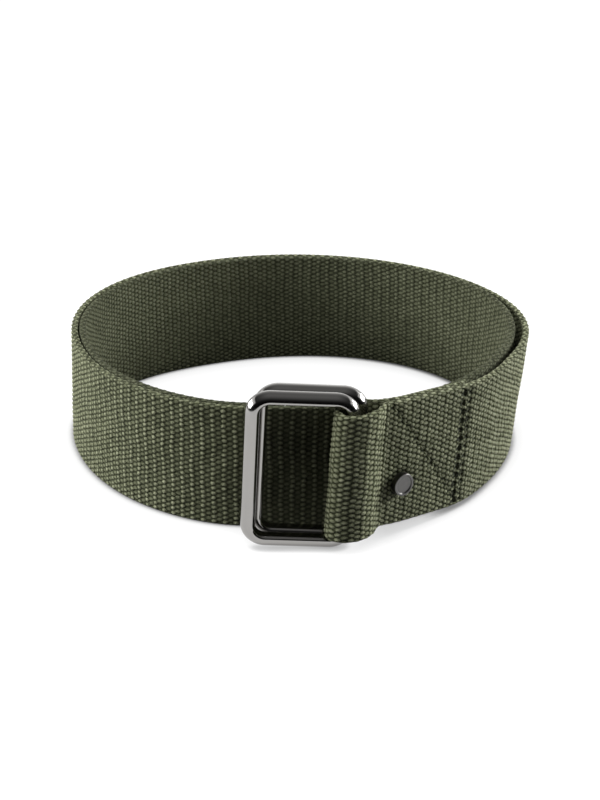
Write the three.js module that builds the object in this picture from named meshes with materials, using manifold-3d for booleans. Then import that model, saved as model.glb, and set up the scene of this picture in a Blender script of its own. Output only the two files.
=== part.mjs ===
// Webbing belt with a buckle of two rectangular rings, coiled in two turns and standing on its edge.
// Millimetres. +Z is up, the buckle faces -Y, and the origin is under the middle of the bounding box.
import * as THREE from "three";
import { mergeVertices } from "three/addons/utils/BufferGeometryUtils.js";
import Module from "manifold-3d";

// Webbing
const WEB_WIDTH = 38.5;
const WEB_THICKNESS = 2.1;
const WEB_EDGE_BEVEL = 0.5;
const LONGEST_STEP = 4.4;
const LARGEST_TURN = 7;

// Buckle rings
const RING_WIDTH = 33.4;
const RING_HEIGHT = 47.8;
const RING_BAR = 3.6;
const RING_INNER_CORNER = 3.3;
const CORNER_STEPS = 8;
// Where the middle of each ring's front face is, its roll to the right and its lean back.
const RING_FRONT_POSE = { x: -0.1, y: -84.1, z: 24.62, roll: 3.1, lean_back: 4.0 };
const RING_REAR_POSE = { x: 1.7, y: -78.65, z: 24.58, roll: 3.1, lean_back: 3.7 };

// Rivet
const RIVET_PLACE = { x: 29.3, y: -73.45, z: 16.8 };
const RIVET_NORMAL = { x: 0.585, y: -0.811, z: 0 };
const RIVET_CAP_RADIUS = 3.45;
const RIVET_SHANK_RADIUS = 1.5;
const RIVET_HOLE_RADIUS = 1.8;

// From the middle of the coil to the middle of the bounding box
const ORIGIN = { x: -0.83, y: -8.86 };

// The ring bar's section: out from the window, and back from the ring's front face.
const BAR_SECTION = [
  { out: 0.0, back: 0.25 },
  { out: 0.2, back: 0.0 },
  { out: 1.1, back: 0.0 },
  { out: 2.15, back: 0.45 },
  { out: 3.0, back: 1.25 },
  { out: 3.48, back: 2.25 },
  { out: 3.6, back: 3.25 },
  { out: 3.3, back: 4.3 },
  { out: 2.5, back: 4.9 },
  { out: 0.6, back: 4.9 },
  { out: 0.0, back: 4.4 },
];

// The webbing's middle line along its lower edge, from the short folded end to the free end.
// rise is the height of the lower edge, top_x and top_y how far the upper edge leans from above it.
const SEWN_END = [
  { x: 46.5, y: -53.5, rise: 1.5, top_x: 3.0, top_y: 2.8 },
  { x: 43.6, y: -56.8, rise: 1.9, top_x: 3.0, top_y: 3.0 },
  { x: 37.1, y: -62.6, rise: 2.7, top_x: 2.7, top_y: 2.8 },
  { x: 29.9, y: -68.7, rise: 3.5, top_x: 2.5, top_y: 2.6 },
  { x: 25.0, y: -72.2, rise: 3.9, top_x: 2.4, top_y: 2.5 },
  { x: 21.8, y: -73.9, rise: 4.1, top_x: 2.3, top_y: 2.6 },
];
const FOLD = [
  { x: 18.7, y: -74.2, rise: 4.0, top_x: 2.3, top_y: 2.7 },
  { x: 15.4, y: -73.5, rise: 4.0, top_x: 2.3, top_y: 2.8 },
  { x: 12.0, y: -74.1, rise: 4.2, top_x: 2.4, top_y: 2.9 },
  { x: 9.4, y: -76.3, rise: 4.4, top_x: 2.7, top_y: 3.0 },
  { x: 8.3, y: -79.8, rise: 4.6, top_x: 2.8, top_y: 3.0 },
  { x: 8.1, y: -83.4, rise: 4.6, top_x: 2.9, top_y: 3.0 },
  { x: 9.2, y: -86.4, rise: 4.6, top_x: 2.8, top_y: 3.0 },
  { x: 12.2, y: -87.7, rise: 4.6, top_x: 2.4, top_y: 3.1 },
  { x: 15.6, y: -87.2, rise: 4.6, top_x: 2.2, top_y: 3.1 },
  { x: 18.5, y: -85.2, rise: 4.6, top_x: 2.1, top_y: 3.1 },
  { x: 20.3, y: -82.7, rise: 4.6, top_x: 2.3, top_y: 3.0 },
  { x: 21.4, y: -79.9, rise: 4.6, top_x: 2.4, top_y: 2.8 },
];
const SEWN_FRONT = [
  { x: 22.6, y: -77.3, rise: 4.5, top_x: 2.4, top_y: 2.6 },
  { x: 24.7, y: -75.6, rise: 4.2, top_x: 2.4, top_y: 2.5 },
  { x: 31.4, y: -70.8, rise: 3.5, top_x: 2.5, top_y: 2.6 },
  { x: 38.8, y: -64.6, rise: 2.7, top_x: 2.7, top_y: 2.8 },
  { x: 45.5, y: -58.6, rise: 1.9, top_x: 3.0, top_y: 3.0 },
  { x: 51.2, y: -51.2, rise: 1.1, top_x: 3.1, top_y: 2.2 },
  { x: 55.6, y: -43.9, rise: 0.6, top_x: 3.1, top_y: 1.2 },
];
// The coil: angle from +X towards the back, radius to the middle of the lower edge, top_out the
// upper edge's lean away from the coil's middle.
const OUTER_TURN = [
  { angle: -24, radius: 69.3, top_out: 2.4, rise: 0.1 },
  { angle: -12, radius: 69.1, top_out: 3.6, rise: 0 },
  { angle: 0, radius: 69.4, top_out: 4.2, rise: 0 },
  { angle: 12, radius: 70.0, top_out: 3.4, rise: 0 },
  { angle: 24, radius: 70.7, top_out: 1.6, rise: 0 },
  { angle: 48, radius: 71.4, top_out: -1.2, rise: 0 },
  { angle: 72, radius: 70.7, top_out: -1.5, rise: 0 },
  { angle: 96, radius: 69.8, top_out: -0.2, rise: 0 },
  { angle: 120, radius: 70.7, top_out: 0.7, rise: 0 },
  { angle: 144, radius: 75.2, top_out: -0.9, rise: 0 },
  { angle: 168, radius: 76.2, top_out: -1.7, rise: 0 },
  { angle: 192, radius: 73.4, top_out: -0.8, rise: 0 },
  { angle: 216, radius: 72.2, top_out: -0.2, rise: 0 },
  { angle: 240, radius: 71.8, top_out: -0.7, rise: 0 },
  { angle: 252, radius: 70.8, top_out: -0.8, rise: 0 },
];
const BEHIND_RINGS = [
  { x: -12, y: -68.2, rise: 0, top_x: 0, top_y: 0.7 },
  { x: 1, y: -67.8, rise: 0, top_x: 0.3, top_y: 0.6 },
  { x: 14, y: -67.4, rise: 0.1, top_x: 0.5, top_y: 0.4 },
  { x: 23.5, y: -66.7, rise: 0.2, top_x: 0.8, top_y: 0.6 },
  { x: 28.6, y: -64.6, rise: 0.3, top_x: 1.0, top_y: 0.9 },
  { x: 35.1, y: -59.9, rise: 0.4, top_x: 1.4, top_y: 1.3 },
  { x: 42.0, y: -54.2, rise: 0.5, top_x: 1.9, top_y: 1.7 },
  { x: 47.4, y: -48.3, rise: 0.5, top_x: 2.2, top_y: 1.6 },
  { x: 52.1, y: -41.6, rise: 0.5, top_x: 2.4, top_y: 1.0 },
];
const INNER_TURN = [
  { angle: -24, radius: 65.5, top_out: 2.1, rise: 0.5 },
  { angle: -12, radius: 65.8, top_out: 2.6, rise: 0.5 },
  { angle: 0, radius: 66.4, top_out: 2.9, rise: 0.5 },
  { angle: 24, radius: 68.1, top_out: 1.5, rise: 0.5 },
  { angle: 48, radius: 69.0, top_out: -1.2, rise: 0.4 },
  { angle: 72, radius: 68.3, top_out: -1.5, rise: 0.2 },
  { angle: 96, radius: 67.4, top_out: -0.2, rise: 0 },
  { angle: 120, radius: 68.3, top_out: 0.7, rise: 0 },
  { angle: 144, radius: 72.8, top_out: -0.9, rise: 0 },
  { angle: 168, radius: 73.8, top_out: -1.7, rise: 0 },
  { angle: 192, radius: 71.0, top_out: -0.8, rise: 0 },
  { angle: 216, radius: 69.8, top_out: -0.2, rise: 0 },
  { angle: 240, radius: 69.4, top_out: -0.7, rise: 0 },
  { angle: 252, radius: 68.4, top_out: -0.8, rise: 0 },
  { angle: 260, radius: 66.8, top_out: -0.7, rise: 0 },
  { angle: 266, radius: 65.8, top_out: -0.6, rise: 0 },
];

const radians = THREE.MathUtils.degToRad;

function fromPolar(row) {
  const c = Math.cos(radians(row.angle));
  const s = Math.sin(radians(row.angle));
  return { x: row.radius * c, y: row.radius * s, rise: row.rise, top_x: row.top_out * c, top_y: row.top_out * s };
}

// A natural cubic spline through values at the given knots.
function spline(knots, values) {
  const n = knots.length;
  const bend = new Array(n).fill(0);
  const carry = new Array(n).fill(0);
  for (let i = 1; i < n - 1; i++) {
    const before = knots[i] - knots[i - 1];
    const after = knots[i + 1] - knots[i];
    const ratio = before / (before + after);
    const pivot = ratio * bend[i - 1] + 2;
    const kink = (values[i + 1] - values[i]) / after - (values[i] - values[i - 1]) / before;
    bend[i] = (ratio - 1) / pivot;
    carry[i] = ((6 * kink) / (before + after) - ratio * carry[i - 1]) / pivot;
  }
  for (let i = n - 2; i >= 0; i--) bend[i] = bend[i] * bend[i + 1] + carry[i];
  return (t) => {
    let i = 0;
    while (i < n - 2 && knots[i + 1] < t) i++;
    const h = knots[i + 1] - knots[i];
    const a = (knots[i + 1] - t) / h;
    const b = 1 - a;
    return a * values[i] + b * values[i + 1]
      + ((a ** 3 - a) * bend[i] + (b ** 3 - b) * bend[i + 1]) * (h * h / 6);
  };
}

// Stations along the webbing, closer together where it bends.
function webbingStations() {
  const rows = [
    ...SEWN_END,
    ...FOLD,
    ...SEWN_FRONT,
    ...OUTER_TURN.map(fromPolar),
    ...BEHIND_RINGS,
    ...INNER_TURN.map(fromPolar),
  ];
  const knots = [0];
  for (let i = 1; i < rows.length; i++) {
    knots.push(knots[i - 1] + Math.hypot(rows[i].x - rows[i - 1].x, rows[i].y - rows[i - 1].y));
  }
  const curve = {};
  for (const column of ["x", "y", "rise", "top_x", "top_y"]) {
    curve[column] = spline(knots, rows.map((row) => row[column]));
  }
  const at = (t) => {
    const way = new THREE.Vector2(curve.x(t + 0.05) - curve.x(t - 0.05), curve.y(t + 0.05) - curve.y(t - 0.05));
    way.normalize();
    const base = new THREE.Vector3(curve.x(t), curve.y(t), Math.max(0, curve.rise(t)));
    const lean = new THREE.Vector2(curve.top_x(t), curve.top_y(t));
    const up = new THREE.Vector3(lean.x, lean.y, Math.sqrt(WEB_WIDTH ** 2 - lean.lengthSq()));
    return { base, up: up.normalize(), way, out: new THREE.Vector3(way.y, -way.x, 0) };
  };
  const end = knots[knots.length - 1];
  const stations = [at(0)];
  let last = 0;
  let turned = 0;
  let way = stations[0].way;
  for (let t = 0.1; t < end - 0.05; t += 0.1) {
    const here = at(t);
    turned += Math.abs(Math.atan2(way.x * here.way.y - way.y * here.way.x, way.dot(here.way)));
    way = here.way;
    if (t - last > LONGEST_STEP || turned > radians(LARGEST_TURN)) {
      stations.push(here);
      last = t;
      turned = 0;
    }
  }
  stations.push(at(end));
  return stations;
}

// A closed body through rings of points that all have the same count; open ends are capped.
function sweep(loops, closed) {
  const count = loops[0].length;
  const positions = loops.flat().flatMap((p) => [p.x - ORIGIN.x, p.y - ORIGIN.y, p.z]);
  const index = [];
  const spans = closed ? loops.length : loops.length - 1;
  for (let i = 0; i < spans; i++) {
    const here = i * count;
    const next = ((i + 1) % loops.length) * count;
    for (let j = 0; j < count; j++) {
      const k = (j + 1) % count;
      index.push(here + j, next + k, next + j, here + j, here + k, next + k);
    }
  }
  if (!closed) {
    const last = (loops.length - 1) * count;
    for (let j = 1; j < count - 1; j++) {
      index.push(0, j + 1, j);
      index.push(last, last + j, last + j + 1);
    }
  }
  const geometry = new THREE.BufferGeometry();
  geometry.setAttribute("position", new THREE.Float32BufferAttribute(positions, 3));
  geometry.setIndex(index);
  return geometry;
}

function strapGeometry() {
  const half = WEB_THICKNESS / 2;
  const c = WEB_EDGE_BEVEL;
  const section = [
    { out: -half + c, up: 0 },
    { out: -half, up: c },
    { out: -half, up: WEB_WIDTH - c },
    { out: -half + c, up: WEB_WIDTH },
    { out: half - c, up: WEB_WIDTH },
    { out: half, up: WEB_WIDTH - c },
    { out: half, up: c },
    { out: half - c, up: 0 },
  ];
  const loops = webbingStations().map((station) => section.map((p) => station.base.clone()
    .addScaledVector(station.up, p.up)
    .addScaledVector(station.out, p.out)));
  return sweep(loops, false);
}

function ringGeometry(pose) {
  const corner = RING_INNER_CORNER;
  const halfWidth = RING_WIDTH / 2 - RING_BAR - corner;
  const halfHeight = RING_HEIGHT / 2 - RING_BAR - corner;
  const centres = [[1, 1], [-1, 1], [-1, -1], [1, -1]];
  const place = new THREE.Matrix4()
    .makeTranslation(pose.x, pose.y, pose.z)
    .multiply(new THREE.Matrix4().makeRotationX(radians(-pose.lean_back)))
    .multiply(new THREE.Matrix4().makeRotationY(radians(pose.roll)));
  const loops = [];
  centres.forEach(([sx, sz], quarter) => {
    for (let i = 0; i <= CORNER_STEPS; i++) {
      const angle = radians(90 * quarter + (90 * i) / CORNER_STEPS);
      loops.push(BAR_SECTION.map((p) => new THREE.Vector3(
        sx * halfWidth + (corner + p.out) * Math.cos(angle),
        p.back,
        sz * halfHeight + (corner + p.out) * Math.sin(angle),
      ).applyMatrix4(place)));
    }
  });
  return sweep(loops, true);
}

// The rivet's outline from its axis: radius, and height along the way it faces.
const RIVET_OUTLINE = [
  { radius: 0, height: -5.95 },
  { radius: 2.8, height: -5.95 },
  { radius: 3.0, height: -5.75 },
  { radius: 3.0, height: -5.35 },
  { radius: 2.8, height: -5.15 },
  { radius: RIVET_SHANK_RADIUS, height: -5.15 },
  { radius: RIVET_SHANK_RADIUS, height: 0.4 },
  { radius: RIVET_CAP_RADIUS - 0.25, height: 0.4 },
  { radius: RIVET_CAP_RADIUS, height: 0.7 },
  { radius: RIVET_CAP_RADIUS, height: 2.0 },
  { radius: RIVET_CAP_RADIUS - 0.1, height: 2.2 },
  { radius: RIVET_CAP_RADIUS - 0.3, height: 2.3 },
  { radius: RIVET_CAP_RADIUS - 0.6, height: 2.25 },
  { radius: RIVET_CAP_RADIUS - 0.8, height: 1.9 },
  { radius: 0, height: 1.9 },
];

function rivetPose() {
  const normal = new THREE.Vector3(RIVET_NORMAL.x, RIVET_NORMAL.y, RIVET_NORMAL.z).normalize();
  const turn = new THREE.Quaternion().setFromUnitVectors(new THREE.Vector3(0, 1, 0), normal);
  const place = new THREE.Vector3(RIVET_PLACE.x - ORIGIN.x, RIVET_PLACE.y - ORIGIN.y, RIVET_PLACE.z);
  return new THREE.Matrix4().compose(place, turn, new THREE.Vector3(1, 1, 1));
}

function rivetGeometry() {
  const outline = RIVET_OUTLINE.map((p) => new THREE.Vector2(p.radius, p.height));
  return new THREE.LatheGeometry(outline, 32).applyMatrix4(rivetPose());
}

const wasm = await Module();
wasm.setup();

function weld(geometry) {
  geometry.deleteAttribute("normal");
  geometry.deleteAttribute("uv");
  return mergeVertices(geometry, 1e-4);
}

function solid(geometry) {
  const welded = weld(geometry);
  return new wasm.Manifold(new wasm.Mesh({
    numProp: 3,
    vertProperties: welded.attributes.position.array,
    triVerts: new Uint32Array(welded.index.array),
  }));
}

function geometryOf(body) {
  const mesh = body.getMesh();
  const geometry = new THREE.BufferGeometry();
  geometry.setAttribute("position", new THREE.Float32BufferAttribute(mesh.vertProperties, 3));
  geometry.setIndex(new THREE.BufferAttribute(mesh.triVerts, 1));
  return geometry;
}

// The rivet's hole goes through both layers of the sewn end, and no further in.
const rivetHole = new THREE.CylinderGeometry(RIVET_HOLE_RADIUS, RIVET_HOLE_RADIUS, 6.2, 24)
  .translate(0, -2.1, 0)
  .applyMatrix4(rivetPose());
const strap = geometryOf(solid(strapGeometry()).subtract(solid(rivetHole)));

const webbing = new THREE.MeshStandardMaterial({ color: 0x474d34, roughness: 0.9, metalness: 0 });
const frontMetal = new THREE.MeshStandardMaterial({ color: 0x9a9894, roughness: 0.12, metalness: 1 });
const rearMetal = new THREE.MeshStandardMaterial({ color: 0x9a9894, roughness: 0.12, metalness: 1 });
const rivetMetal = new THREE.MeshStandardMaterial({ color: 0x5c5a58, roughness: 0.3, metalness: 1 });

const belt = new THREE.Group();
belt.name = "webbing_belt";
for (const [name, geometry, material] of [
  ["strap", strap, webbing],
  ["ring_front", weld(ringGeometry(RING_FRONT_POSE)), frontMetal],
  ["ring_rear", weld(ringGeometry(RING_REAR_POSE)), rearMetal],
  ["rivet", weld(rivetGeometry()), rivetMetal],
]) {
  const mesh = new THREE.Mesh(geometry, material);
  mesh.name = name;
  belt.add(mesh);
}

export default belt;
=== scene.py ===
"""Olive webbing belt with a buckle of two polished rings, coiled in two turns and standing on its edge.

Metres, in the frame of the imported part: +Z is up and the buckle faces -Y.
"""

import math
from collections import namedtuple

import bpy
import numpy as np
from mathutils import Matrix, Vector


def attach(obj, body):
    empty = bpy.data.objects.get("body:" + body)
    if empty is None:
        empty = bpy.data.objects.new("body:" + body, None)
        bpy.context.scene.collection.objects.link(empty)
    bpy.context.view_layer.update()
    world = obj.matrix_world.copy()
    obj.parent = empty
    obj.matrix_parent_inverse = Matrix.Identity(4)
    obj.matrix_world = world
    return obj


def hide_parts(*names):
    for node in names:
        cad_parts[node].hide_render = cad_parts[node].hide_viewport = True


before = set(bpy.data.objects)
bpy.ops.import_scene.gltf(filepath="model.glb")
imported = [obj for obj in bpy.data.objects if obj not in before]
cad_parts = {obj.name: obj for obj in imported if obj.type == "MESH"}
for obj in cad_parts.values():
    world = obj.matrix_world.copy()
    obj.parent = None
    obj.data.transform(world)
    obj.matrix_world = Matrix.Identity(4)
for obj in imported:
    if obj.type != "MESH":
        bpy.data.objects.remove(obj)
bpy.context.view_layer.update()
bpy.ops.object.select_all(action="DESELECT")
scene = bpy.context.scene
scene.view_settings.view_transform = "Standard"

# Camera: it stands 0.6 m from the belt and looks down on it at 23.5 degrees.
# The long lens keeps the coil's front and back turns nearly the same size.
COIL_MIDDLE = Vector((0.00083, 0.00886, 0))
LOOK_DOWN = math.radians(23.5)
CAMERA_DISTANCE = 0.6
AIM_HEIGHT = 0.0113
camera_back = CAMERA_DISTANCE * math.cos(LOOK_DOWN)
camera_height = AIM_HEIGHT + CAMERA_DISTANCE * math.sin(LOOK_DOWN)
bpy.ops.object.camera_add(
    location=COIL_MIDDLE + Vector((0, -camera_back, camera_height)),
    rotation=(math.radians(90) - LOOK_DOWN, 0, 0),
)
camera = bpy.context.object
camera.name = "camera"
camera.data.lens = 81.09
camera.data.sensor_width = 36
camera.data.clip_start = 0.01
scene.camera = camera


# Studio: a white table between two softboxes, one on each side and a little behind the belt, and a
# weak wide one overhead. Nothing bright stands in front, so what faces the camera stays dark.
class Tone:
    """One socket of a material, so that shader maths reads as an expression."""

    def __init__(self, finish, socket):
        self.finish = finish
        self.socket = socket

    def maths(self, operation, *others):
        return self.finish.node("ShaderNodeMath", {"operation": operation}, self, *others)

    def __add__(self, other):
        return self.maths("ADD", other)

    def __sub__(self, other):
        return self.maths("SUBTRACT", other)

    def __rsub__(self, other):
        return self.finish.node("ShaderNodeMath", {"operation": "SUBTRACT"}, other, self)

    def __mul__(self, other):
        return self.maths("MULTIPLY", other)

    def __rmul__(self, other):
        return self.maths("MULTIPLY", other)

    def __truediv__(self, other):
        return self.maths("DIVIDE", other)

    def __pow__(self, other):
        return self.maths("POWER", other)

    def __mod__(self, other):
        return self.maths("FLOORED_MODULO", other)


class Finish:
    """A material and the nodes that make it."""

    def __init__(self, name):
        self.material = bpy.data.materials.new(name)
        self.material.use_nodes = True
        self.tree = self.material.node_tree
        self.shader = self.tree.nodes["Principled BSDF"]

    def plug(self, socket, value):
        if isinstance(value, Tone):
            self.tree.links.new(value.socket, socket)
        elif socket.type == "RGBA":
            socket.default_value = (*value, 1)
        else:
            socket.default_value = value

    def node(self, kind, settings=None, *values, output=0, **named):
        made = self.tree.nodes.new(kind)
        for setting, value in (settings or {}).items():
            setattr(made, setting, value)
        for socket, value in zip(made.inputs, values):
            self.plug(socket, value)
        for socket, value in named.items():
            self.plug(made.inputs[socket], value)
        return Tone(self, made.outputs[output])

    def parts(self, vector):
        """The three numbers of a vector or colour."""
        made = self.tree.nodes.new("ShaderNodeSeparateXYZ")
        self.plug(made.inputs[0], vector)
        return [Tone(self, output) for output in made.outputs]

    def ramp(self, value, stops):
        made = self.tree.nodes.new("ShaderNodeValToRGB")
        elements = made.color_ramp.elements
        while len(elements) < len(stops):
            elements.new(0.5)
        for element, (position, colour) in zip(elements, stops):
            element.position = position
            element.color = (*colour, 1)
        self.plug(made.inputs[0], value)
        return Tone(self, made.outputs[0])

    def blend(self, share, first, second, how="MIX"):
        made = self.tree.nodes.new("ShaderNodeMix")
        made.data_type = "RGBA"
        made.blend_type = how
        for socket, value in zip((made.inputs[0], made.inputs[6], made.inputs[7]), (share, first, second)):
            self.plug(socket, value)
        return Tone(self, made.outputs[2])

    def set(self, **sockets):
        for name, value in sockets.items():
            self.plug(self.shader.inputs[name.replace("_", " ")], value)


bpy.ops.mesh.primitive_plane_add(size=14, location=(0, 0, 0))
table = bpy.context.object
table.name = "table"
table_white = Finish("table_white")
# The table glows white, and a contact shadow painted into its glow dims it where the space over it
# isn't open: within 3 mm where the belt touches it, and within 14 mm beside the belt. Each row is
# how open the space is and how bright the table is there.
TOUCHING_REACH = 0.003
TOUCHING = (
    (0.1, 0.1),
    (0.3, 0.22),
    (0.5, 0.34),
    (0.57, 0.44),
    (0.668, 0.64),
    (0.756, 0.84),
    (0.832, 0.94),
    (0.913, 1.0),
)
BESIDE_REACH = 0.014
BESIDE = ((0.4, 0.62), (0.5, 0.72), (0.6, 0.82), (0.7, 0.9), (0.85, 0.96), (1.0, 1.0))
shadows = []
for reach, rows in ((TOUCHING_REACH, TOUCHING), (BESIDE_REACH, BESIDE)):
    open_share = table_white.node("ShaderNodeAmbientOcclusion", {"samples": 24}, Distance=reach, output=1)
    shadows.append(table_white.ramp(open_share, [(openness, (tone, tone, tone)) for openness, tone in rows]))
# The painted contact shadow is lightened round the buckle. This stands in for light that slips under
# the rings and the fold, which stand a little above the table.
BUCKLE_X, BUCKLE_Y = 0.001, -0.078
SLIP_REACH = 0.03
SLIP_SHARE = 0.72
x, y, _ = table_white.parts(table_white.node("ShaderNodeTexCoord", output=3))
from_buckle = ((x - BUCKLE_X) ** 2 + (y - BUCKLE_Y) ** 2) / SLIP_REACH**2
near_buckle = (1 - from_buckle).maths("MAXIMUM", 0)
table_white.set(
    Base_Color=(0.12, 0.12, 0.12),
    Roughness=0.9,
    Specular_IOR_Level=0.0,
    Emission_Color=table_white.blend(1.0, *shadows, "MULTIPLY") ** (1 - near_buckle * SLIP_SHARE),
    Emission_Strength=1.0,
)
table.data.materials.append(table_white.material)
table.visible_diffuse = False


def softbox(name, place, aim, size, watts):
    bpy.ops.object.light_add(type="AREA", location=place)
    box = bpy.context.object
    box.name = name
    box.rotation_euler = (Vector(aim) - Vector(place)).to_track_quat("-Z", "Y").to_euler()
    box.data.shape = "RECTANGLE"
    box.data.size, box.data.size_y = size
    box.data.energy = watts
    return box


# Each side has a bright softbox and a wide faint one above it, so that its reflection fades out.
BELT_FRONT = (0, -0.02, 0.02)
softbox("left_softbox", (-0.6, 0.05, 0.23), BELT_FRONT, (0.5, 0.18), 7.3)
softbox("left_softbox_rim", (-0.6, 0.05, 0.33), BELT_FRONT, (0.8, 0.3), 0.8)
softbox("right_softbox", (0.58, 0.17, 0.23), BELT_FRONT, (0.42, 0.18), 6.5)
softbox("right_softbox_rim", (0.58, 0.17, 0.33), BELT_FRONT, (0.72, 0.3), 0.7)
overhead = softbox("overhead_softbox", (0, -0.33, 0.75), (0, -0.03, 0.02), (0.6, 0.4), 2.7)
overhead.visible_glossy = False
bounce = softbox("table_bounce", (0, 0.005, 0.001), (0, 0.005, 0.1), (0.1, 0.1), 0.024)
bounce.visible_glossy = False
bounce.visible_camera = False

# The room is dark in front, a pale wall glows behind, and the ceiling is dim.
ROOM_GLOWS = (("Y", 3, 1.4), ("Z", 5, 0.24))
FAINTEST = 0.002
world = bpy.data.worlds.new("studio")
world.use_nodes = True
room = world.node_tree
looking = room.nodes.new("ShaderNodeTexCoord").outputs["Generated"]
facing = room.nodes.new("ShaderNodeSeparateXYZ")
room.links.new(looking, facing.inputs[0])
both = room.nodes.new("ShaderNodeMath")
for which, (toward, falloff, brightness) in enumerate(ROOM_GLOWS):
    glow = facing.outputs[toward]
    for operation, amount in (
        ("MAXIMUM", 0),
        ("POWER", falloff),
        ("MULTIPLY", brightness),
        ("ADD", FAINTEST),
    ):
        step = room.nodes.new("ShaderNodeMath")
        step.operation = operation
        room.links.new(glow, step.inputs[0])
        step.inputs[1].default_value = amount
        glow = step.outputs[0]
    room.links.new(glow, both.inputs[which])
room.nodes["Background"].inputs["Color"].default_value = (1, 1, 1, 1)
room.links.new(both.outputs[0], room.nodes["Background"].inputs["Strength"])
scene.world = world

# Webbing: one long strip of heavy olive belt webbing, 38 mm wide and 2 mm thick, plain woven from
# thick yarn. It is folded back and sewn round the rings' bars, and then coiled in two turns.
WIDTH = 38.5
THICKNESS = 2.1
# The weave's columns run across the webbing and its rows along it. They are this far apart in mm.
COLUMN = 1.667
ROW = 1.57
# The middle of the webbing's lower edge in mm: x, y, height, and how far the upper edge leans in x and y.
SEWN_END = [
    (46.5, -53.5, 1.5, 3.0, 2.8),
    (43.6, -56.8, 1.9, 3.0, 3.0),
    (37.1, -62.6, 2.7, 2.7, 2.8),
    (29.9, -68.7, 3.5, 2.5, 2.6),
    (25.0, -72.2, 3.9, 2.4, 2.5),
    (21.8, -73.9, 4.1, 2.3, 2.6),
]
FOLD = [
    (18.7, -74.2, 4.0, 2.3, 2.7),
    (15.4, -73.5, 4.0, 2.3, 2.8),
    (12.0, -74.1, 4.2, 2.4, 2.9),
    (9.4, -76.3, 4.4, 2.7, 3.0),
    (8.3, -79.8, 4.6, 2.8, 3.0),
    (8.1, -83.4, 4.6, 2.9, 3.0),
    (9.2, -86.4, 4.6, 2.8, 3.0),
    (12.2, -87.7, 4.6, 2.4, 3.1),
    (15.6, -87.2, 4.6, 2.2, 3.1),
    (18.5, -85.2, 4.6, 2.1, 3.1),
    (20.3, -82.7, 4.6, 2.3, 3.0),
    (21.4, -79.9, 4.6, 2.4, 2.8),
]
SEWN_FRONT = [
    (22.6, -77.3, 4.5, 2.4, 2.6),
    (24.7, -75.6, 4.2, 2.4, 2.5),
    (31.4, -70.8, 3.5, 2.5, 2.6),
    (38.8, -64.6, 2.7, 2.7, 2.8),
    (45.5, -58.6, 1.9, 3.0, 3.0),
    (51.2, -51.2, 1.1, 3.1, 2.2),
    (55.6, -43.9, 0.6, 3.1, 1.2),
]
# Round the coil: angle in degrees, radius, how far the upper edge leans outward, and height.
OUTER_TURN = [
    (-24, 69.3, 2.4, 0.1),
    (-12, 69.1, 3.6, 0),
    (0, 69.4, 4.2, 0),
    (12, 70.0, 3.4, 0),
    (24, 70.7, 1.6, 0),
    (48, 71.4, -1.2, 0),
    (72, 70.7, -1.5, 0),
    (96, 69.8, -0.2, 0),
    (120, 70.7, 0.7, 0),
    (144, 75.2, -0.9, 0),
    (168, 76.2, -1.7, 0),
    (192, 73.4, -0.8, 0),
    (216, 72.2, -0.2, 0),
    (240, 71.8, -0.7, 0),
    (252, 70.8, -0.8, 0),
]
BEHIND_RINGS = [
    (-12, -68.2, 0, 0, 0.7),
    (1, -67.8, 0, 0.3, 0.6),
    (14, -67.4, 0.1, 0.5, 0.4),
    (23.5, -66.7, 0.2, 0.8, 0.6),
    (28.6, -64.6, 0.3, 1.0, 0.9),
    (35.1, -59.9, 0.4, 1.4, 1.3),
    (42.0, -54.2, 0.5, 1.9, 1.7),
    (47.4, -48.3, 0.5, 2.2, 1.6),
    (52.1, -41.6, 0.5, 2.4, 1.0),
]
INNER_TURN = [
    (-24, 65.5, 2.1, 0.5),
    (-12, 65.8, 2.6, 0.5),
    (0, 66.4, 2.9, 0.5),
    (24, 68.1, 1.5, 0.5),
    (48, 69.0, -1.2, 0.4),
    (72, 68.3, -1.5, 0.2),
    (96, 67.4, -0.2, 0),
    (120, 68.3, 0.7, 0),
    (144, 72.8, -0.9, 0),
    (168, 73.8, -1.7, 0),
    (192, 71.0, -0.8, 0),
    (216, 69.8, -0.2, 0),
    (240, 69.4, -0.7, 0),
    (252, 68.4, -0.8, 0),
    (260, 66.8, -0.7, 0),
    (266, 65.8, -0.6, 0),
]


def round_the_coil(table_rows):
    """Rows given round the coil, turned into rows like the others."""
    placed = []
    for angle, radius, lean, height in table_rows:
        c, s = math.cos(math.radians(angle)), math.sin(math.radians(angle))
        placed.append((radius * c, radius * s, height, lean * c, lean * s))
    return placed


def natural_spline(knots, values, t):
    """The smooth curve through the values at the knots, at every t."""
    gaps = np.diff(knots)
    system = np.eye(len(knots))
    right = np.zeros_like(values)
    for i in range(1, len(knots) - 1):
        system[i, i - 1 : i + 2] = gaps[i - 1], 2 * (gaps[i - 1] + gaps[i]), gaps[i]
        right[i] = 6 * ((values[i + 1] - values[i]) / gaps[i] - (values[i] - values[i - 1]) / gaps[i - 1])
    bend = np.linalg.solve(system, right)
    i = np.clip(np.searchsorted(knots, t) - 1, 0, len(gaps) - 1)
    b = ((t - knots[i]) / gaps[i])[:, None]
    a = 1 - b
    straight = a * values[i] + b * values[i + 1]
    curved = (a**3 - a) * bend[i] + (b**3 - b) * bend[i + 1]
    return straight + curved * (gaps[i] ** 2 / 6)[:, None]


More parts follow.
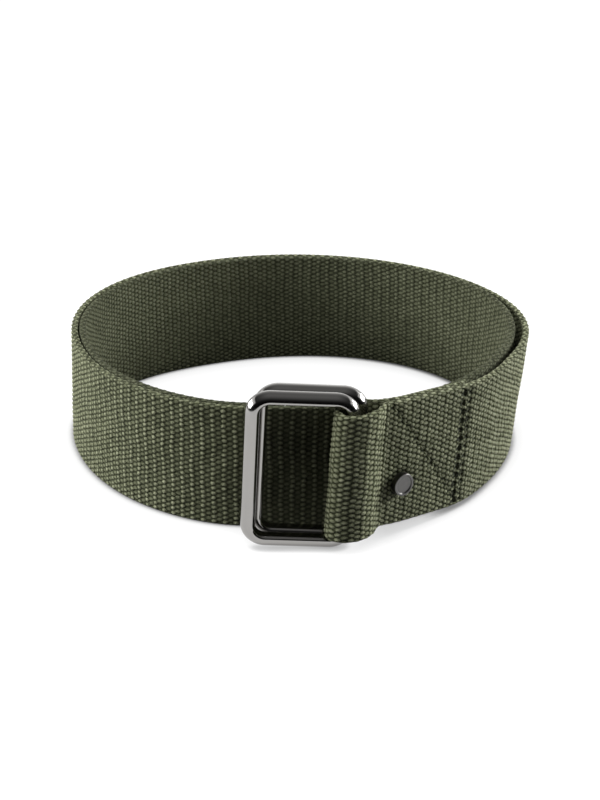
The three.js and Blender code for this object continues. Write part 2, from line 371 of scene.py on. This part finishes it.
route = np.array(
    SEWN_END + FOLD + SEWN_FRONT + round_the_coil(OUTER_TURN) + BEHIND_RINGS + round_the_coil(INNER_TURN)
)
ROUTE_STEP = 0.1
knots = np.concatenate([[0], np.cumsum(np.hypot(*np.diff(route[:, :2], axis=0).T))])
line = natural_spline(knots, route, np.arange(0, knots[-1], ROUTE_STEP))
line[:, 2] = np.maximum(line[:, 2], 0)
line_base = line[:, :3]
line_up = np.column_stack([line[:, 3:], np.sqrt(WIDTH**2 - (line[:, 3:] ** 2).sum(1))]) / WIDTH
line_way = np.gradient(line[:, :2], axis=0)
line_way /= np.linalg.norm(line_way, axis=1)[:, None]
line_out = np.column_stack([line_way[:, 1], -line_way[:, 0], np.zeros(len(line))])
line_mid = line_base + line_up * WIDTH / 2
along = np.concatenate([[0], np.cumsum(np.linalg.norm(np.diff(line_mid, axis=0), axis=1))])
WEBBING_LENGTH = along[-1]


def on_webbing(s, v, out):
    """A place in metres, from mm: s along the webbing, v up from its lower edge, out from its middle."""
    place = [
        np.interp(s, along, line_base[:, i])
        + np.interp(s, along, line_up[:, i]) * v
        + np.interp(s, along, line_out[:, i]) * out
        for i in range(3)
    ]
    return np.stack(place, -1) / 1000 + np.array(COIL_MIDDLE)


# The weave shows two sets of raised knuckles, in every second column each, half a row apart. They
# overlap along their flanks and leave small pits between. Each set has its knuckles' length and
# height. The second set sits deeper than the first, least so on the sewn end.
KNUCKLE_SETS = (1.9, 1.45), (2.15, 1.35)
RELIEF = 0.55
MEAN_KNUCKLE = 0.6
DEEPER = 0.28
DEEPER_BY_TURNS = 0.14
SHALLOWEST_AT, DEEPEST_AT = 90, 450


def second_set_deeper(s, cosine):
    turn = (s - SHALLOWEST_AT) * (math.pi / (DEEPEST_AT - SHALLOWEST_AT))
    return DEEPER - DEEPER_BY_TURNS * cosine(turn)


def knuckle(s, v):
    """How high the weave stands at a place, from 0 in a pit to 1."""
    heights = []
    for which, (length, height) in enumerate(KNUCKLE_SETS):
        x = ((s / (2 * COLUMN) + which / 2) % 1 - 0.5) * 2 * COLUMN
        y = ((v / ROW + which / 2) % 1 - 0.5) * ROW
        bulge = 1 - (2 * x / length) ** 2 - (2 * y / height) ** 2
        heights.append(np.sqrt(np.maximum(bulge, 0)) * (1 - which * second_set_deeper(s, np.cos)))
    return np.maximum(*heights)


# Seams through both layers of the sewn end: a diagonal one, and a pair near the folded end's edge.
# Each is where it starts and ends, how wide and how deep its stitches draw the webbing in, and how
# open its needle holes are. The fold's crease against the sewn end has no stitches.
Seam = namedtuple("Seam", "s0 v0 s1 v1 width depth open")
SEAMS = (
    Seam(76.6, 38.2, 106.5, 1.8, 0.9, 0.25, 0.25),
    Seam(105.7, 37.6, 105.6, 0.9, 1.0, 0.45, 1.35),
    Seam(108.6, 37.6, 108.6, 0.9, 0.8, 0.4, 0.45),
)
CREASE = Seam(73.7, 38.5, 72.7, 0.0, 0.7, 0.5, 0.0)
STITCH = 2.9
SEWN_STRETCH = (60, 120)
# The rivet's cap is pressed into the webbing.
RIVET_S, RIVET_V = 81.9, 13.0
DIMPLE_REACH = 4.7
DIMPLE_DEPTH = 0.45


def to_seam(s, v, seam):
    """How far along a seam and how far beside it a place is, and how long the seam is."""
    run, climb = seam.s1 - seam.s0, seam.v1 - seam.v0
    length = math.hypot(run, climb)
    ahead = ((s - seam.s0) * run + (v - seam.v0) * climb) / length
    aside = ((s - seam.s0) * climb - (v - seam.v0) * run) / length
    return ahead, aside, length


def drawn_in(s, v):
    """How far the stitches, the crease and the rivet draw the outer face in, in mm."""
    depth = np.zeros_like(s)
    for seam in (*SEAMS, CREASE):
        ahead, aside, length = to_seam(s, v, seam)
        within = np.clip(ahead + 1, 0, 1) * np.clip(length + 1 - ahead, 0, 1)
        depth = np.maximum(depth, seam.depth * np.exp(-((aside / seam.width) ** 2)) * within)
    beside = np.hypot(s - RIVET_S, v - RIVET_V) / DIMPLE_REACH
    return np.maximum(depth, DIMPLE_DEPTH * np.exp(-(beside**4)))


def drift(s, v):
    """Small unevenness of the yarns along and across the webbing, and of its face, in mm."""
    middle = 1 - (2 * v / WIDTH - 1) ** 2
    ahead = 0.14 * np.sin(0.31 * v + 0.13 * s) + 0.1 * np.sin(0.83 * v - 0.41 * s + 2) * middle
    rise = (0.12 * np.sin(0.27 * s + 1) + 0.07 * np.sin(0.71 * s + 0.4 * v)) * middle
    face = 0.07 * np.sin(0.17 * s + 0.21 * v) + 0.05 * np.sin(0.53 * s - 0.33 * v + 1)
    return ahead, rise, face * middle


# Points across each face, which stops just short of the edges: a woven face has them all, and a
# hidden plain one every 24th.
FACE_MARGIN = 0.2
FACE_POINTS = np.linspace(FACE_MARGIN, WIDTH - FACE_MARGIN, 98)
PLAIN_EVERY = 24
STATIONS_PER_COLUMN = 3
# Round each edge are three points: how far out from the middle, as a share of the thickness, how
# far past the edge in mm, and how much farther on the pattern. Between the yarns the edge dips.
EDGE_OUT = np.array([0.375, 0.0, -0.375])
EDGE_PAST = np.array([0.16, 0.3, 0.16])
EDGE_PATTERN = np.array([0.4, 1.0, 1.6])
EDGE_DIP = 0.45


def face_row(s, side, woven):
    """Points across a face at s, outer face (1) or inner (-1), and where they lie on the pattern."""
    v = FACE_POINTS if woven else FACE_POINTS[::PLAIN_EVERY]
    station = np.full(len(v), s)
    ahead, rise, face = drift(station, v)
    deep = drawn_in(station, v) if side == 1 and SEWN_STRETCH[0] < s < SEWN_STRETCH[1] else 0
    relief = RELIEF * (knuckle(station, v) - MEAN_KNUCKLE) if woven else 0
    places = on_webbing(station + ahead, v + rise, side * (THICKNESS / 2 + relief - deep) + face)
    return places[::side], np.column_stack([station, v])[::side]


def edge_row(s, side):
    """Points round an edge at s, upper edge (1) or lower (-1), which bulges with each column's yarn."""
    edge, beside = (WIDTH, FACE_POINTS[-1]) if side == 1 else (0, FACE_POINTS[0])
    v = np.array([beside, edge, beside])
    station = np.full(3, s)
    ahead, _, _ = drift(station, v)
    bulge = EDGE_PAST * (1 - EDGE_DIP + EDGE_DIP * math.cos(2 * math.pi * s / COLUMN))
    places = on_webbing(station + ahead, v + bulge * side, EDGE_OUT * side * THICKNESS)
    return places, np.column_stack([station, edge + EDGE_PATTERN * side])


def bridge(a, b):
    """Faces between two rows of points, with triangles where the rows differ in length."""
    if len(a) == len(b):
        return np.column_stack([a[:-1], b[:-1], b[1:], a[1:]]).tolist()
    faces = []
    i = j = 0
    while i < len(a) - 1 or j < len(b) - 1:
        if j == len(b) - 1 or (i < len(a) - 1 and (i + 1) * (len(b) - 1) <= (j + 1) * (len(a) - 1)):
            faces.append([a[i], b[j], a[i + 1]])
            i += 1
        else:
            faces.append([a[i], b[j], b[j + 1]])
            j += 1
    return faces


def weave_strip(name, first, last, outer_woven, inner_woven):
    """Webbing from first to last mm, with its weave modelled on each face over the given stretch."""
    step = COLUMN / STATIONS_PER_COLUMN
    stations = (np.arange(int(first / step), int(last / step) + 1) + 0.5) * step
    stations = stations[(stations > first) & (stations < last)]
    places, marks, loops = [], [], []
    count = 0
    for s in (first, *stations, last):
        loop = []
        for side, (woven_from, woven_to) in ((1, outer_woven), (-1, inner_woven)):
            woven = woven_from <= s <= woven_to
            for row_places, row_marks in (face_row(s, side, woven), edge_row(s, side)):
                places.append(row_places)
                marks.append(row_marks)
                loop.append(np.arange(count, count + len(row_marks)))
                count += len(row_marks)
        loops.append(loop)
    faces = [np.concatenate(loops[0])]
    for pair in zip(loops, loops[1:]):
        for face, edge, next_face in ((0, 1, 2), (2, 3, 0)):
            faces += bridge(*(loop[face] for loop in pair))
            around = [np.concatenate([loop[face][-1:], loop[edge], loop[next_face][:1]]) for loop in pair]
            faces += bridge(*around)
    faces.append(np.concatenate(loops[-1])[::-1])
    mesh = bpy.data.meshes.new(name)
    mesh.from_pydata(np.concatenate(places).tolist(), [], [[int(i) for i in face] for face in faces])
    uv = mesh.uv_layers.new(name="weave")
    corner = np.empty(len(mesh.loops), int)
    mesh.loops.foreach_get("vertex_index", corner)
    uv.data.foreach_set("uv", (np.concatenate(marks)[corner] / 1000).ravel())
    mesh.shade_smooth()
    strip = bpy.data.objects.new(name, mesh)
    scene.collection.objects.link(strip)
    return strip


# The strip is split where it passes out of sight. Faces that lie against another layer are plain.
SPLIT = 493.0
LAID_DOUBLE_TO = 28
OUTER_FACE_SHOWS_TO = 524
HIDDEN = (-1, -1)
outer_turn = weave_strip("webbing_outer_turn", 0, SPLIT, (LAID_DOUBLE_TO, SPLIT), HIDDEN)
inner_turn = weave_strip(
    "webbing_inner_turn", SPLIT, WEBBING_LENGTH, (SPLIT, OUTER_FACE_SHOWS_TO), (SPLIT, WEBBING_LENGTH)
)

olive = Finish("olive_webbing")
s_mm, v_mm = (part * 1000 for part in olive.parts(olive.node("ShaderNodeUVMap", {"uv_map": "weave"}))[:2])
# Every knuckle has a tone of its own and lies a little off its place, in mm.
TONE_VARIES = 0.4
OFF_ALONG, OFF_ACROSS = 0.3, 0.25
SECOND_SET_SHIFT = 0.12
knuckles = []
for which, (length, height) in enumerate(KNUCKLE_SETS):
    column = s_mm / (2 * COLUMN) + which / 2
    row = v_mm / ROW + which / 2
    cell = olive.node("ShaderNodeCombineXYZ", None, column.maths("FLOOR"), row.maths("FLOOR"), 7.0 * which)
    each = olive.node("ShaderNodeTexWhiteNoise", {"noise_dimensions": "3D"}, cell)
    nudge = olive.node("ShaderNodeTexWhiteNoise", {"noise_dimensions": "3D"}, cell, output=1)
    nudge_x, nudge_y, _ = olive.parts(nudge)
    x = (column % 1 - 0.5) * (2 * COLUMN) + (nudge_x - 0.5) * OFF_ALONG + which * SECOND_SET_SHIFT
    y = (row % 1 - 0.5) * ROW + (nudge_y - 0.5) * OFF_ACROSS
    x = x * (2 / length)
    y = y * (2 / height)
    bulge = (1 - x * x - y * y).maths("MAXIMUM", 0)
    lower = 1 - second_set_deeper(s_mm, lambda turn: turn.maths("COSINE")) * which
    # Each knuckle has a tone of its own, with a painted highlight at its top that fades to painted shade at
    # its flanks, and painted shade over the deeper second set.
    knuckles.append((bulge**0.5 * lower, bulge * lower * ((each - 0.5) * TONE_VARIES + 1)))
height = knuckles[0][0].maths("MAXIMUM", knuckles[1][0])
knuckle_tone_and_shade = knuckles[0][1].maths("MAXIMUM", knuckles[1][1])
place = olive.node("ShaderNodeCombineXYZ", None, s_mm, v_mm, 0.0)
flat = {"noise_dimensions": "2D"}
fibres = olive.node("ShaderNodeTexNoise", flat, place, Scale=3.5, Detail=3.0, Roughness=0.7)
patches = olive.node("ShaderNodeTexNoise", flat, place, Scale=0.13, Detail=3.0, Roughness=0.6)
# The seams' grooves and the rivet's dimple are painted dark with shade, and so are the needle holes
# between stitches, which wander to either side and differ in how open they are. Their two reaches
# are squared.
GROOVE_SHADE = 0.7
HOLE_WANDER = 0.7
HOLE_ACROSS, HOLE_AHEAD = 2.3, 1.5
LEAST_OPEN, OPEN_VARIES = 0.75, 0.5
groove = 0.0
holes = 0.0
for seam in SEAMS:
    ahead, aside, length = to_seam(s_mm, v_mm, seam)
    within = (ahead * (length - ahead)).maths("GREATER_THAN", 0)
    beside = aside / seam.width
    groove = (1 - beside * beside).maths("MAXIMUM", 0) * within * (seam.depth * GROOVE_SHADE) + groove
    hole = ahead % STITCH - STITCH / 2
    number = (ahead / STITCH).maths("FLOOR") + seam.s1
    each = olive.node("ShaderNodeTexWhiteNoise", {"noise_dimensions": "1D"}, W=number)
    from_hole = (aside + (each - 0.5) * HOLE_WANDER) ** 2 / HOLE_ACROSS + hole * hole / HOLE_AHEAD
    opened = (each * OPEN_VARIES + LEAST_OPEN) * seam.open
    holes = (1 - from_hole).maths("MAXIMUM", 0) * within * opened + holes
# The rivet's dimple round its cap, painted dark with shade and sunk in the bump.
from_rivet = ((s_mm - RIVET_S) ** 2 + (v_mm - RIVET_V) ** 2) / DIMPLE_REACH**2
groove = (1 - from_rivet * from_rivet).maths("MAXIMUM", 0) * DIMPLE_DEPTH + groove
# The weave's tone in a pit, where it is painted shade, and what the knuckles, their fibres and worn
# patches add to it. The knuckles add a painted highlight on their tops that fades to painted shade
# at their flanks.
PIT_TONE_AND_SHADE = 0.16
KNUCKLE_TONE_AND_HIGHLIGHT = 0.8
FIBRE_TONE = 0.9
PATCH_TONE = 0.3
weave = knuckle_tone_and_shade * KNUCKLE_TONE_AND_HIGHLIGHT + (fibres - 0.5) * FIBRE_TONE + (patches - 0.5) * PATCH_TONE + PIT_TONE_AND_SHADE
colour = olive.ramp(
    weave - groove - holes,
    [
        (0.0, (0.014, 0.016, 0.007)),
        (0.3, (0.074, 0.081, 0.045)),
        (0.6, (0.163, 0.175, 0.103)),
        (0.9, (0.278, 0.292, 0.190)),
    ],
)
# Painted shade makes the inner turn's colour flatter and darker, and painted light makes the fold
# paler over its two bends: each row is the bend's middle and reach in mm, and how much paler it is.
CHANGE_REACH = 9
INNER_FLATTER = 0.4
INNER_COLOUR = (0.088, 0.096, 0.053)
INNER_PAINTED_SHADE = 0.42
PAINTED_LIGHT_ON_BENDS = ((53.0, 6.0, 0.25), (68.0, 5.0, 0.3))
inner = olive.node(
    "ShaderNodeMapRange",
    {"interpolation_type": "SMOOTHSTEP"},
    s_mm,
    SPLIT - CHANGE_REACH,
    SPLIT + CHANGE_REACH,
    0.0,
    1.0,
)
# Painted shade: the inner turn, inside the coil, is flatter and darker.
colour = olive.blend(inner * INNER_FLATTER, colour, INNER_COLOUR)
tone = 1 - inner * INNER_PAINTED_SHADE
# Painted light on the fold's two bends, where the side lamps would fall.
for middle, reach, paler in PAINTED_LIGHT_ON_BENDS:
    off = (s_mm - middle) / reach
    tone = (1 - off * off).maths("MAXIMUM", 0) * paler + tone
colour = olive.blend(1.0, colour, tone, "MULTIPLY")
relief = height + (fibres - 0.5) * 0.5 - groove - holes
bumps = olive.node("ShaderNodeBump", None, Strength=1.0, Distance=0.0005, Height=relief)
olive.set(Base_Color=colour, Roughness=0.85, Normal=bumps, Specular_IOR_Level=0.12)

for strip, length in ((outer_turn, SPLIT), (inner_turn, WEBBING_LENGTH - SPLIT)):
    strip.data.materials.append(olive.material)
    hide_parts("strap")
    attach(strip, "strap_body")
    length / 1000

# Seam thread: lockstitches of thick olive thread along the seams, through both layers. They show on
# the sewn end's outer face and behind its inner layer.
BEHIND_BOTH_LAYERS = -4.05
STITCH_PROUD = 0.05
STITCH_SIZE = (1.5, 0.6, 0.5)
bpy.ops.mesh.primitive_uv_sphere_add(segments=12, ring_count=8, radius=0.001)
stitch = bpy.context.object
bpy.ops.object.mode_set(mode="EDIT")
bpy.ops.transform.resize(value=[size / 2 for size in STITCH_SIZE])
bpy.ops.object.mode_set(mode="OBJECT")
stitches = []
for seam in SEAMS:
    run, climb = seam.s1 - seam.s0, seam.v1 - seam.v0
    length = math.hypot(run, climb)
    for i in range(1, int(length / STITCH)):
        share = i * STITCH / length
        s, v = seam.s0 + run * share, seam.v0 + climb * share
        for out, turned in ((THICKNESS / 2 - seam.depth + STITCH_PROUD, 1), (BEHIND_BOTH_LAYERS, -1)):
            middle = Vector(on_webbing(s, v, out))
            ahead = Vector(on_webbing(s + run / length, v + climb / length, out)) - middle
            face = Vector(on_webbing(s, v, out + turned)) - middle
            x, z = ahead.normalized(), face.normalized()
            y = z.cross(x)
            one = stitch.copy()
            one.data = stitch.data.copy()
            one.data.transform(Matrix.Translation(middle) @ Matrix((x, y, z)).transposed().to_4x4())
            scene.collection.objects.link(one)
            stitches.append(one)
bpy.data.objects.remove(stitch)
bpy.ops.object.select_all(action="DESELECT")
for one in stitches:
    one.select_set(True)
bpy.context.view_layer.objects.active = stitches[0]
bpy.ops.object.join()
seam_thread = bpy.context.object
seam_thread.name = "seam_thread"
bpy.ops.object.shade_smooth()
bpy.ops.object.select_all(action="DESELECT")
twisted = Finish("olive_thread")
at = twisted.node("ShaderNodeTexCoord", output=3)
fuzz = twisted.node("ShaderNodeTexNoise", None, at, Scale=3000.0, Detail=3.0)
twisted.set(
    Base_Color=twisted.blend(fuzz, (0.09, 0.1, 0.055), (0.2, 0.21, 0.13)),
    Roughness=0.8,
    Specular_IOR_Level=0.2,
)
seam_thread.data.materials.append(twisted.material)
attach(seam_thread, "strap_body")

# Rings: two cast rings with round-shouldered bars, plated dark nickel and polished. Their right
# bars lie side by side in the webbing's fold, and the front one leans on the rear one.
RING_WIDTH = 33.4
RING_HEIGHT = 47.8
RING_BAR = 4.0
# The upright bars are this much wider than the cross bars.
UPRIGHTS_WIDER = 1.08
INNER_CORNER = 2.9
CORNER_STEPS = 20
# The bar's section in mm: out from the window, and back from the ring's front face. A smooth curve
# runs through these points, with four steps between each two.
SECTION_STEPS = 4
BAR_SECTION = [
    (0.0, 3.1),
    (0.04, 2.3),
    (0.15, 1.6),
    (0.34, 0.95),
    (0.6, 0.4),
    (0.93, 0.09),
    (1.3, 0.0),
    (1.95, 0.17),
    (2.65, 0.58),
    (3.3, 1.25),
    (3.8, 2.15),
    (4.0, 3.15),
    (3.75, 4.3),
    (3.0, 4.9),
    (1.1, 4.9),
    (0.35, 4.35),
]


def on_section(turn):
    """The place on the bar's section, turn points round from its first one."""
    share, first = math.modf(turn)
    knot = np.array(BAR_SECTION)
    before, start, end, after = (knot[(int(first) + step) % len(knot)] for step in (-1, 0, 1, 2))
    slope = (end - before) * share
    sag = (2 * before - 5 * start + 4 * end - after) * share**2
    twist = (3 * start - before - 3 * end + after) * share**3
    return 0.5 * (2 * start + slope + sag + twist)


def cast_ring(name, place, roll, lean_back, turn):
    """A ring with its front face's middle at place in mm, and its angles in degrees."""
    half_width = (RING_WIDTH / 2 / UPRIGHTS_WIDER - RING_BAR - INNER_CORNER) / 1000
    half_height = (RING_HEIGHT / 2 - RING_BAR - INNER_CORNER) / 1000
    bpy.ops.mesh.primitive_circle_add(vertices=len(BAR_SECTION) * SECTION_STEPS, radius=0.001)
    ring = bpy.context.object
    ring.name = name
    for i, vertex in enumerate(ring.data.vertices):
        out, back = on_section(i / SECTION_STEPS)
        vertex.co = (half_width + (INNER_CORNER + out) / 1000, back / 1000, -half_height)
    bpy.ops.object.mode_set(mode="EDIT")
    bpy.ops.mesh.select_all(action="SELECT")
    side = Vector((0, 0, 2 * half_height))
    for corner_x, corner_z in ((1, 1), (-1, 1), (-1, -1), (1, -1)):
        bpy.ops.mesh.extrude_region_move(TRANSFORM_OT_translate={"value": side})
        bpy.ops.mesh.spin(
            steps=CORNER_STEPS,
            angle=math.radians(90),
            center=(corner_x * half_width, 0, corner_z * half_height),
            axis=(0, 1, 0),
        )
        side = Matrix.Rotation(math.radians(90), 3, (0, -1, 0)) @ side
        side = side.normalized() * 2 * (half_width if abs(side.z) < abs(side.x) else half_height)
    bpy.ops.mesh.select_all(action="SELECT")
    bpy.ops.mesh.remove_doubles(threshold=1e-6)
    bpy.ops.mesh.normals_make_consistent(inside=False)
    bpy.ops.object.mode_set(mode="OBJECT")
    bpy.ops.object.shade_smooth()
    stand = (
        Matrix.Translation(Vector(place) / 1000 + COIL_MIDDLE)
        @ Matrix.Rotation(math.radians(-turn), 4, "Z")
        @ Matrix.Rotation(math.radians(-lean_back), 4, "X")
        @ Matrix.Rotation(math.radians(roll), 4, "Y")
        @ Matrix.Diagonal((UPRIGHTS_WIDER, 1, 1, 1))
    )
    ring.data.transform(stand)
    bpy.ops.object.select_all(action="DESELECT")
    return ring


ring_front = cast_ring("buckle_ring_front", (0.12, -83.7, 24.58), roll=2.9, lean_back=4.0, turn=-2.0)
ring_rear = cast_ring("buckle_ring_rear", (2.3, -78.25, 24.5), roll=3.3, lean_back=3.7, turn=-2.0)

# The polish leaves faint smears, and hairlines that run up the rings.
nickel = Finish("polished_dark_nickel")
at = nickel.node("ShaderNodeTexCoord", output=3)
smears = nickel.node("ShaderNodeTexNoise", None, at, Scale=120.0, Detail=4.0)
drawn_out = nickel.node("ShaderNodeVectorMath", {"operation": "MULTIPLY"}, at, (4000.0, 4000.0, 300.0))
hairlines = nickel.node("ShaderNodeTexNoise", None, drawn_out, Scale=1.0, Detail=2.0)
nickel.set(
    Base_Color=nickel.blend(smears, (0.31, 0.302, 0.29), (0.35, 0.342, 0.33)),
    Metallic=1.0,
    Roughness=smears * 0.1 + hairlines * 0.05 + 0.05,
)
for ring, node, body in (
    (ring_front, "ring_front", "front_ring_body"),
    (ring_rear, "ring_rear", "rear_ring_body"),
):
    ring.data.materials.append(nickel.material)
    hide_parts(node)
    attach(ring, body)

# Rivet: a gunmetal cap with a raised rim, pressed through both layers of the sewn end and closed
# by a plain disc behind them.
RIVET_PLACE = (29.3, -73.45, 16.8)
RIVET_FACES = Vector((0.585, -0.811, 0)).normalized()
# The rest is in metres, along the rivet from its place.
CAP_RADIUS = 0.00345
CAP_BACK, CAP_FRONT = 0.0004, 0.0023
RIM = 0.0007
FACE_SUNK = 0.0004
FACE_BEVEL = 0.0003
SHANK_RADIUS = 0.0015
SHANK_LENGTH = 0.00555
DISC_WIDER = 2
DISC_LIP = 0.00001
DISC_THICKNESS = 0.00079
SOFT_EDGE = 0.00022


def move_selected(forward):
    bpy.ops.mesh.extrude_region_move(TRANSFORM_OT_translate={"value": (0, 0, forward)})


def select_facing(forward):
    bpy.ops.object.mode_set(mode="OBJECT")
    for face in rivet.data.polygons:
        face.select = face.normal.z * forward > 0.9
    bpy.ops.object.mode_set(mode="EDIT")


bpy.ops.mesh.primitive_cylinder_add(
    vertices=64,
    radius=CAP_RADIUS,
    depth=CAP_FRONT - CAP_BACK,
    location=(0, 0, (CAP_FRONT + CAP_BACK) / 2),
)
rivet = bpy.context.object
rivet.name = "rivet_cap"
bpy.ops.object.transform_apply(location=True)
bpy.ops.object.mode_set(mode="EDIT")
bpy.ops.mesh.select_mode(type="FACE")
bpy.ops.mesh.select_all(action="DESELECT")
select_facing(1)
bpy.ops.mesh.inset(thickness=RIM)
move_selected(-FACE_SUNK)
bpy.ops.mesh.inset(thickness=FACE_BEVEL)
bpy.ops.mesh.select_all(action="DESELECT")
select_facing(-1)
bpy.ops.mesh.inset(thickness=CAP_RADIUS - SHANK_RADIUS)
move_selected(-SHANK_LENGTH)
move_selected(-DISC_LIP)
bpy.ops.transform.resize(value=(DISC_WIDER, DISC_WIDER, 1))
move_selected(-DISC_THICKNESS)
bpy.ops.mesh.select_all(action="SELECT")
bpy.ops.mesh.normals_make_consistent(inside=False)
bpy.ops.object.mode_set(mode="OBJECT")
soften = rivet.modifiers.new("soften", "BEVEL")
soften.width = SOFT_EDGE
soften.segments = 4
soften.limit_method = "ANGLE"
soften.angle_limit = math.radians(40)
bpy.ops.object.modifier_apply(modifier="soften")
bpy.ops.object.shade_smooth_by_angle(angle=math.radians(40))
turn = Vector((0, 0, 1)).rotation_difference(RIVET_FACES).to_matrix().to_4x4()
rivet.data.transform(Matrix.Translation(Vector(RIVET_PLACE) / 1000 + COIL_MIDDLE) @ turn)
bpy.ops.object.select_all(action="DESELECT")

gunmetal = Finish("gunmetal")
at = gunmetal.node("ShaderNodeTexCoord", output=3)
grain = gunmetal.node("ShaderNodeTexNoise", None, at, Scale=900.0, Detail=4.0)
gunmetal.set(
    Base_Color=gunmetal.blend(grain, (0.09, 0.088, 0.086), (0.13, 0.127, 0.124)),
    Metallic=1.0,
    Roughness=grain * 0.15 + 0.25,
    Normal=gunmetal.node("ShaderNodeBump", None, Strength=0.3, Distance=0.00005, Height=grain),
)
rivet.data.materials.append(gunmetal.material)
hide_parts("rivet")
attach(rivet, "strap_body")
